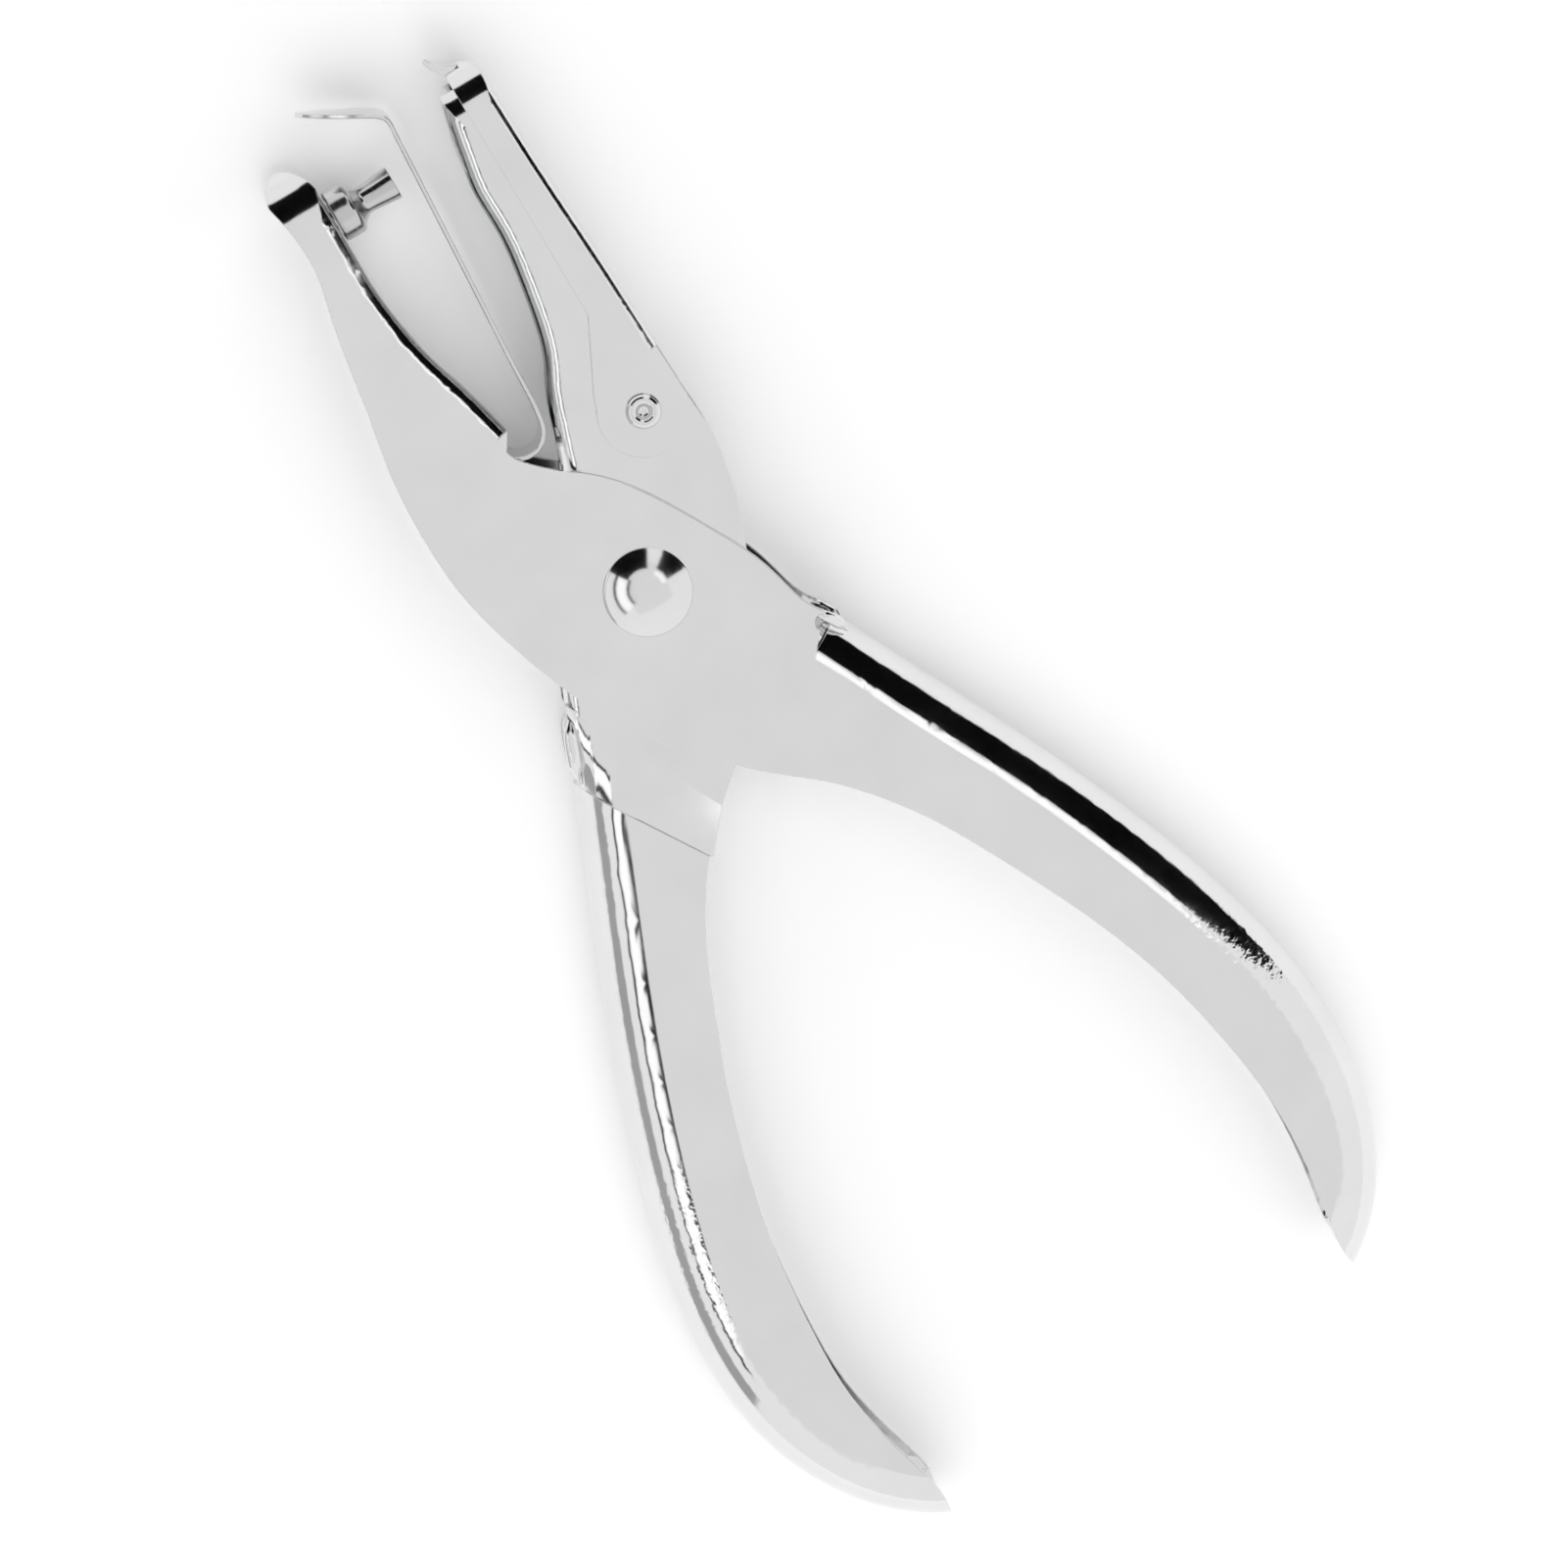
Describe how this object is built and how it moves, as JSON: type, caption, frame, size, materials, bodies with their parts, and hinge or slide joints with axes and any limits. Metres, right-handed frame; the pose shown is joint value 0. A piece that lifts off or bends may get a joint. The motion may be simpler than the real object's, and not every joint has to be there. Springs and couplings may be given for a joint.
{
  "type": "hole punch",
  "caption": "Plier-type hand punch in plated pressed steel: two crossed channel levers on a rivet, stepped punch pin, sprung stripper leaf and a swing-open chip cover.",
  "frame": {"origin": "On the face the tool rests on, under the centre of its bounding box. The main rivet's axis stands at X -0.0011, Y 0.0171 m.", "axes": "+Y towards the jaws, the tool's long direction; +Z out of the cheek that carries the rivet's domed head, which faces up; +X towards the die lever's jaw and the chip cover, and away from the punch lever's jaw. Stored open, lying flat."},
  "size_m": [0.0638, 0.1376, 0.0108],
  "materials": {
    "plated_steel": "bright nickel plate over pressed steel, faint orange peel",
    "hard_steel": "turned and ground tool steel",
    "spring_steel": "drawn spring wire"
  },
  "bodies": {
    "punch_lever": {"punch_lever": "plated_steel", "punch_pin": "hard_steel", "pivot_rivet": "plated_steel", "stripper_bend": "plated_steel", "return_spring": "spring_steel"},
    "die_lever": {"die_lever": "plated_steel", "cover_rivet": "plated_steel"},
    "stripper": {"stripper_leaf": "plated_steel"},
    "chip_cover": {"chip_cover": "plated_steel"}
  },
  "joints": [
    {"name": "squeeze", "type": "hinge", "parent": "punch_lever", "child": "die_lever", "pos_m": [-0.00113, 0.01714, 0.0048], "axis": [0, 0, 1], "range_deg": [0, 10], "stiffness_Nm_per_rad": 0.6, "springref_deg": -28.65, "deforming": ["return_spring", "stripper_bend"]},
    {"name": "stripper_travel", "type": "slide", "parent": "punch_lever", "child": "stripper", "axis": [-1, 0, 0], "range_m": [0, 0.0045]},
    {"name": "cover_swing", "type": "hinge", "parent": "die_lever", "child": "chip_cover", "pos_m": [0.00662, 0.03104, 0.0048], "axis": [0, 0, -1], "range_deg": [0, 55]}
  ],
  "couplings": [
    {"joint": "stripper_travel", "follows": "squeeze", "m_per_rad": 0.0217}
  ]
}
